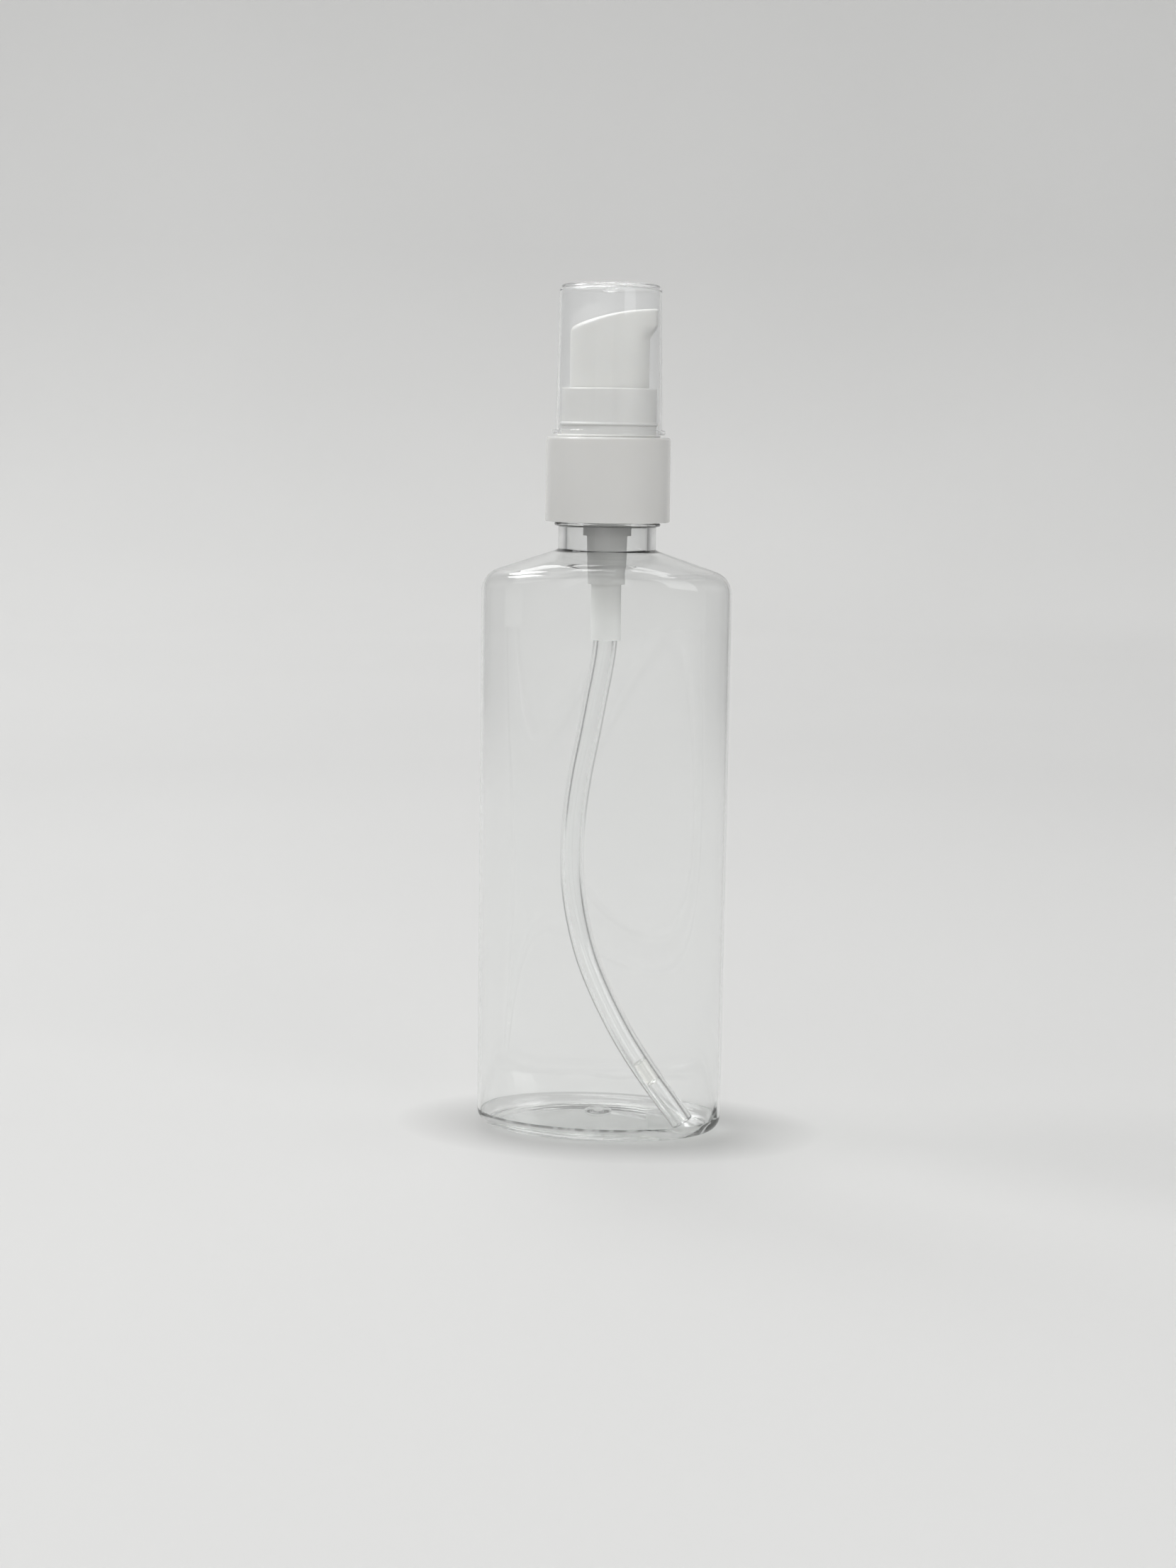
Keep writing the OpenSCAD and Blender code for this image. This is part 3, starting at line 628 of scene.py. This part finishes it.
class Nodes:
    """A material and the nodes it is made of."""

    def __init__(self, name):
        self.material = bpy.data.materials.new(name)
        self.material.use_nodes = True
        self.tree = self.material.node_tree
        self.tree.nodes.clear()
        self.out = self.add("ShaderNodeOutputMaterial")
        self.place = self.add("ShaderNodeTexCoord").outputs["Object"]

    def add(self, kind, **values):
        node = self.tree.nodes.new(kind)
        for key, value in values.items():
            setattr(node, key, value)
        return node

    def link(self, a, b):
        self.tree.links.new(a, b)

    def noise(self, scale, detail=3, stretch=(1, 1, 1)):
        """Noise in the object's own space; scale is features per metre."""
        mapping = self.add("ShaderNodeMapping")
        mapping.inputs["Scale"].default_value = stretch
        self.link(self.place, mapping.inputs["Vector"])
        node = self.add("ShaderNodeTexNoise")
        node.inputs["Scale"].default_value = scale
        node.inputs["Detail"].default_value = detail
        self.link(mapping.outputs[0], node.inputs["Vector"])
        return node.outputs["Fac"]

    def between(self, value, low, high, at=(0.35, 0.65)):
        """A number that goes from low to high while value goes through at."""
        node = self.add("ShaderNodeMapRange")
        node.inputs["From Min"].default_value, node.inputs["From Max"].default_value = at
        node.inputs["To Min"].default_value, node.inputs["To Max"].default_value = low, high
        self.link(value, node.inputs["Value"])
        return node.outputs["Result"]

    def tint(self, value, low, high, at=(0.3, 0.7)):
        """A colour that goes from low to high while value goes through at."""
        node = self.add("ShaderNodeValToRGB")
        node.color_ramp.elements[0].position, node.color_ramp.elements[1].position = at
        node.color_ramp.elements[0].color = (*low, 1)
        node.color_ramp.elements[1].color = (*high, 1)
        self.link(value, node.inputs["Fac"])
        return node.outputs["Color"]

    def bump(self, value, depth, normal=None):
        """depth is the height of the relief in metres."""
        node = self.add("ShaderNodeBump")
        node.inputs["Strength"].default_value = 1
        node.inputs["Distance"].default_value = depth
        self.link(value, node.inputs["Height"])
        if normal is not None:
            self.link(normal, node.inputs["Normal"])
        return node.outputs["Normal"]

    def principled(self, **values):
        node = self.add("ShaderNodeBsdfPrincipled")
        for key, value in values.items():
            socket = node.inputs[key.replace("_", " ")]
            if isinstance(value, bpy.types.NodeSocket):
                self.link(value, socket)
            else:
                socket.default_value = (*value, 1) if socket.type == "RGBA" else value
        return node

    def show(self, shader):
        self.link(shader, self.out.inputs["Surface"])
        return self.material

    def lets_lamps_through(self, shader, colour):
        """Clear plastic passes lamp light, so that what is behind it isn't left in the dark."""
        path = self.add("ShaderNodeLightPath")
        clear = self.add("ShaderNodeBsdfTransparent")
        clear.inputs["Color"].default_value = (*colour, 1)
        mix = self.add("ShaderNodeMixShader")
        self.link(path.outputs["Is Shadow Ray"], mix.inputs[0])
        self.link(shader, mix.inputs[1])
        self.link(clear.outputs[0], mix.inputs[2])
        return mix.outputs[0]


def clear_pet():
    m = Nodes("clear_pet")
    waves = m.noise(55, 1, (1, 1, 0.3))
    fine = m.noise(1800, 3)
    shader = m.principled(
        Base_Color=(0.99, 0.994, 0.992), Transmission_Weight=0.99, IOR=1.57,
        Roughness=m.between(fine, 0.0, 0.02),
        Normal=m.bump(waves, 0.0000018, m.bump(fine, 0.0000001)))
    depth = m.add("ShaderNodeVolumeAbsorption")
    depth.inputs["Color"].default_value = (0.60, 0.62, 0.605, 1)
    depth.inputs["Density"].default_value = 25
    m.link(depth.outputs[0], m.out.inputs["Volume"])
    return m.show(m.lets_lamps_through(shader.outputs[0], (0.85, 0.855, 0.852)))


def clear_cap():
    """A weak lens under a glossy coat, as the photo's thin cap hardly bends what is behind it."""
    m = Nodes("clear_cap")
    cloud = m.noise(160, 3, (1, 1, 0.4))
    fine = m.noise(3000, 4)
    shader = m.principled(
        Base_Color=m.tint(cloud, (0.985, 0.99, 0.992), (0.992, 0.996, 0.998)),
        Transmission_Weight=0.965, IOR=1.2, Roughness=m.between(fine, 0.03, 0.06),
        Coat_Weight=0.7, Coat_IOR=1.5, Coat_Roughness=0.04, Normal=m.bump(cloud, 0.0000015))
    return m.show(m.lets_lamps_through(shader.outputs[0], (0.985, 0.988, 0.99)))


def white_plastic(name, light, dark, rough, depth):
    m = Nodes(name)
    flow = m.noise(90, 3, (1, 1, 0.5))
    grain = m.noise(5200, 3)
    shader = m.principled(
        Base_Color=m.tint(flow, dark, light),
        Roughness=m.between(grain, rough - 0.05, rough + 0.07), IOR=1.49, Specular_IOR_Level=0.8,
        Subsurface_Weight=0.25, Subsurface_Radius=(1, 0.95, 0.85), Subsurface_Scale=0.0012,
        Normal=m.bump(grain, depth, m.bump(flow, 0.000012)))
    return m.show(shader.outputs[0])


def natural_plastic(name, light, dark, clear, rough, shade, ior=1.5, painted_shade_stops=None):
    """Unpigmented polypropylene or polyethylene, cloudy to nearly clear. shade tints the lamp light
    that it passes. painted_shade_stops are (height in metres, tone) of painted shade: a darker tone
    where the piece lies in shade and its dark inner pieces would show through its wall."""
    m = Nodes(name)
    flow = m.noise(220, 3, (1, 1, 0.35))
    grain = m.noise(4200, 3)
    colour = m.tint(flow, dark, light)
    if painted_shade_stops:
        axes = m.add("ShaderNodeSeparateXYZ")
        m.link(m.place, axes.inputs[0])
        low, high = painted_shade_stops[0][0], painted_shade_stops[-1][0]
        ramp = m.add("ShaderNodeValToRGB")
        m.link(m.between(axes.outputs["Z"], 0, 1, (low, high)), ramp.inputs["Fac"])
        places = ramp.color_ramp.elements
        while len(places) < len(painted_shade_stops):
            places.new(0.5)
        for element, (z, tone) in zip(places, painted_shade_stops):
            element.position, element.color = (z - low) / (high - low), (*tone, 1)
        blend = m.add("ShaderNodeMix", data_type="RGBA", blend_type="MULTIPLY")
        blend.inputs["Factor"].default_value = 1
        m.link(colour, blend.inputs["A"])
        m.link(ramp.outputs["Color"], blend.inputs["B"])
        colour = blend.outputs["Result"]
    shader = m.principled(
        Base_Color=colour, Transmission_Weight=clear, IOR=ior,
        Roughness=m.between(grain, rough - 0.02, rough + 0.03),
        Normal=m.bump(grain, rough * 0.000003))
    return m.show(m.lets_lamps_through(shader.outputs[0], shade))


def oil():
    m = Nodes("oil")
    swirl = m.noise(500, 2)
    shader = m.principled(
        Base_Color=m.tint(swirl, (0.97, 0.965, 0.93), (0.985, 0.98, 0.955)),
        Transmission_Weight=1.0, IOR=1.47, Roughness=0.0)
    return m.show(m.lets_lamps_through(shader.outputs[0], (0.95, 0.95, 0.92)))


def steel(name, colour, rough, scale):
    m = Nodes(name)
    drawn = m.noise(scale, 4, (1, 1, 6))
    shader = m.principled(
        Base_Color=m.tint(drawn, tuple(0.85 * c for c in colour), colour), Metallic=1.0,
        Roughness=m.between(drawn, rough, rough + 0.15), Normal=m.bump(drawn, 0.000002))
    return m.show(shader.outputs[0])


# painted shade on the paper far out at the sides of the bowl, standing in for a dim room round a
# table
SIDE_SHADE = (0.34, 0.34, 0.34, 1)
# scaled and shifted like this, the bottle's footprint is a circle of radius about 0.7; the shade
# round it has FOOT_SHADE of the paper's tone and fades out between the radii of SHADE_EDGE
FOOT_SCALE, FOOT_SHIFT = (26.5, 45, 0), (-0.06, 0, 0)
FOOT_SHADE, SHADE_EDGE = 0.72, (0.8, 1.3)


def paper():
    """Pale paper behind and under the object. The bowl has painted shade far out at the sides,
    standing in for a dim room round a table, which gives clear plastic its dark edges. A soft shade
    is painted round the bottle's foot, because clear plastic that passes lamp light casts too faint
    a shadow."""
    m = Nodes("paper")
    grain = m.noise(700, 4)
    broad = m.noise(3, 2)
    axes = m.add("ShaderNodeSeparateXYZ")
    m.link(m.place, axes.inputs[0])
    flat = m.add("ShaderNodeCombineXYZ")
    m.link(axes.outputs["X"], flat.inputs["X"])
    m.link(axes.outputs["Y"], flat.inputs["Y"])
    length = m.add("ShaderNodeVectorMath", operation="LENGTH")
    m.link(flat.outputs[0], length.inputs[0])
    unit = m.add("ShaderNodeVectorMath", operation="NORMALIZE")
    m.link(flat.outputs[0], unit.inputs[0])
    behind = m.add("ShaderNodeVectorMath", operation="DOT_PRODUCT")
    m.link(unit.outputs[0], behind.inputs[0])
    behind.inputs[1].default_value = (-math.sin(CAMERA_AZIMUTH), math.cos(CAMERA_AZIMUTH), 0)

    def times(a, b):
        node = m.add("ShaderNodeMath", operation="MULTIPLY")
        m.link(a, node.inputs[0])
        m.link(b, node.inputs[1])
        return node.outputs[0]

    pale = m.add("ShaderNodeMix", data_type="RGBA", blend_type="MULTIPLY")
    pale.inputs["Factor"].default_value = 1
    m.link(m.tint(broad, (0.81, 0.81, 0.802), (0.83, 0.83, 0.822)), pale.inputs["A"])
    footprint = m.add("ShaderNodeVectorMath", operation="MULTIPLY_ADD")
    m.link(flat.outputs[0], footprint.inputs[0])
    footprint.inputs[1].default_value = FOOT_SCALE
    footprint.inputs[2].default_value = FOOT_SHIFT
    reach = m.add("ShaderNodeVectorMath", operation="LENGTH")
    m.link(footprint.outputs[0], reach.inputs[0])
    # painted shade: the paper gets darker going up the wall and near the middle of the floor, as
    # the light falls
    by_height = m.between(axes.outputs["Z"], 1, 0.87, (0.02, 0.34))
    by_distance = m.between(length.outputs["Value"], 0.86, 1, (0.6, 1.3))
    by_foot = m.between(reach.outputs["Value"], FOOT_SHADE, 1, SHADE_EDGE)
    m.link(times(times(by_height, by_distance), by_foot), pale.inputs["B"])
    # painted shade far out at the sides of the bowl, mixed in by SIDE_SHADE
    mix = m.add("ShaderNodeMix", data_type="RGBA")
    not_behind = m.between(behind.outputs["Value"], 1, 0, (0.62, 0.86))
    not_in_front = m.between(behind.outputs["Value"], 0, 1, (-0.98, -0.1))
    far_out = m.between(length.outputs["Value"], 0, 1, (0.5, 0.9))
    m.link(times(times(not_behind, not_in_front), far_out), mix.inputs["Factor"])
    m.link(pale.outputs["Result"], mix.inputs["A"])
    mix.inputs["B"].default_value = SIDE_SHADE
    shader = m.principled(
        Base_Color=mix.outputs["Result"], Roughness=0.45, Specular_IOR_Level=0.3,
        Normal=m.bump(grain, 0.00002))
    return m.show(shader.outputs[0])


# ---- pieces ----


def dress(obj, material):
    obj.data.materials.clear()
    obj.data.materials.append(material)


def piece(obj, body, node, material):
    """Puts a visual on a body, in the place of a CAD node where it has one."""
    dress(obj, material)
    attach(obj, body)
    if node:
        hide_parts(node)
    return obj


PET, CLEAR_CAP = clear_pet(), clear_cap()
# the closure, the collar and the head are one white plastic; their different tones are painted
# light and shade, making up for the uneven light that the cap and the lamps give each part
WHITE = white_plastic(
    "white_closure", (0.735, 0.732, 0.716), (0.72, 0.717, 0.701), rough=0.14, depth=0.000003)
WHITE_COLLAR = white_plastic(
    "white_collar", (0.67, 0.667, 0.651), (0.655, 0.652, 0.636), rough=0.33, depth=0.000002)
WHITE_HEAD = white_plastic(
    "white_head", (0.70, 0.697, 0.676), (0.685, 0.682, 0.661), rough=0.38, depth=0.000003)
INNER_WHITE = white_plastic(
    "inner_white", (0.80, 0.80, 0.78), (0.77, 0.77, 0.75), rough=0.42, depth=0.000003)
# the housing's tone by height is painted shade, darker going up into the neck under the closure
NATURAL = natural_plastic(
    "natural_pump", (1, 1, 0.998), (0.99, 0.992, 0.988), clear=0.35, rough=0.42,
    shade=(0.9, 0.9, 0.89), ior=1.3, painted_shade_stops=(
        (0.1109, (1, 1, 0.998)), (0.1150, (0.985, 0.987, 0.98)), (0.1190, (0.90, 0.90, 0.89)),
        (0.1230, (0.83, 0.83, 0.82)), (0.1300, (0.79, 0.79, 0.78)),
        (0.1350, (0.85, 0.845, 0.835))))
SOFT = natural_plastic(
    "soft_seal", (0.78, 0.79, 0.78), (0.72, 0.73, 0.72), clear=0.1, rough=0.5,
    shade=(0.4, 0.4, 0.4))
TUBE_PE = natural_plastic(
    "clear_tube", (0.995, 0.997, 0.996), (0.985, 0.99, 0.988), clear=0.985, rough=0.03,
    shade=(0.95, 0.955, 0.95))

piece(make_bottle(), "bottle", "bottle", PET)
piece(make_closure(), "closure", "closure", WHITE)
piece(make_collar(), "pump", "collar_ring", WHITE_COLLAR)
piece(make_overcap(), "overcap", "overcap", CLEAR_CAP)
piece(make_actuator(), "actuator", "actuator", WHITE_HEAD)
piece(make_tube(), "pump", "dip_tube", TUBE_PE)
piece(make_slug(), "pump", None, oil())
coil = piece(make_spring(), "pump", "return_spring",
             steel("spring_wire", (0.72, 0.73, 0.75), rough=0.22, scale=900))
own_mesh(coil)

for node, material in (
        ("housing", NATURAL), ("neck_gasket", SOFT), ("stem_seal", SOFT), ("piston", SOFT),
        ("valve_rod", INNER_WHITE), ("stem", INNER_WHITE),
        ("inlet_ball", steel("ball_steel", (0.76, 0.77, 0.78), rough=0.08, scale=400))):
    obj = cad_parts[node]
    for slot in obj.material_slots:
        slot.material = material
    if not obj.material_slots:
        obj.data.materials.append(material)

# ---- stage ----


def make_stage():
    """A pale paper bowl: a level floor that curves up into a round wall, open at the top."""
    level, bend, wall_z, top_z = 1300, 700, 1600, 2300
    profile = [(0, 0), (60, 0), (200, 0), (500, 0), (level, 0)]
    for i in range(1, 25):
        a = math.radians(90 * i / 24)
        profile.append((level + bend * math.sin(a), bend * (1 - math.cos(a))))
    profile += [(level + bend, wall_z), (level + bend, top_z)]
    angles = around(96)
    stage = skin("floor", [[(0, 0, z)] if r == 0 else turned(r, z, angles) for r, z in profile])
    stage.data.flip_normals()
    dress(stage, paper())


def area(name, at, target, size, power, mirrored=True):
    """A rectangular lamp, in metres and watts. One that isn't mirrored gives light, but plastic
    and metal don't show it."""
    data = bpy.data.lights.new(name, "AREA")
    data.shape, data.size, data.size_y = "RECTANGLE", size[0], size[1]
    data.energy = power
    obj = bpy.data.objects.new(name, data)
    obj.matrix_world = Matrix.Translation(at) @ aim(at, target, 0).to_4x4()
    obj.visible_camera = False
    obj.visible_glossy = mirrored
    bpy.context.scene.collection.objects.link(obj)


make_stage()
area("overhead", (-0.3, 0.18, 2.05), (-0.2, 0.1, 0.1), (0.9, 0.5), 5.4)
area("overhead_right", (0.56, 0.18, 2.05), (0.3, 0.1, 0.1), (0.42, 0.5), 1.9)
area("key", (-1.0, 0.05, 1.25), (0, 0, 0.05), (0.5, 0.5), 6.8)
area("left", (-0.9, -0.62, 0.9), (0, 0, 0.1), (0.8, 0.9), 2)
area("right", (0.95, -0.75, 0.8), (0, 0, 0.1), (0.7, 0.9), 4.8, mirrored=False)
area("front", (-0.2, -1.1, 1.6), (0, 0, 0.1), (0.7, 0.5), 1.6)
area("front_low", (-0.15, -1.2, 0.35), (0, 0, 0.12), (0.9, 0.5), 0.75, mirrored=False)
area("back", (-0.7, 1.0, 2.0), (-0.5, 1.45, 0), (1.6, 0.6), 9.6, mirrored=False)

ROOM_LIGHT = 0.44
world = bpy.data.worlds.new("world")
bpy.context.scene.world = world
world.use_nodes = True
world.node_tree.nodes["Background"].inputs["Color"].default_value = (1, 1, 1, 1)
world.node_tree.nodes["Background"].inputs["Strength"].default_value = ROOM_LIGHT

scene = bpy.context.scene
scene.view_settings.view_transform = "Standard"
scene.view_settings.look = "None"
# light crosses many clear walls on its way through the cap, the bottle and the tube
scene.cycles.max_bounces = 32
scene.cycles.transmission_bounces = 24
scene.cycles.transparent_max_bounces = 20
scene.cycles.glossy_bounces = 20
scene.cycles.diffuse_bounces = 5
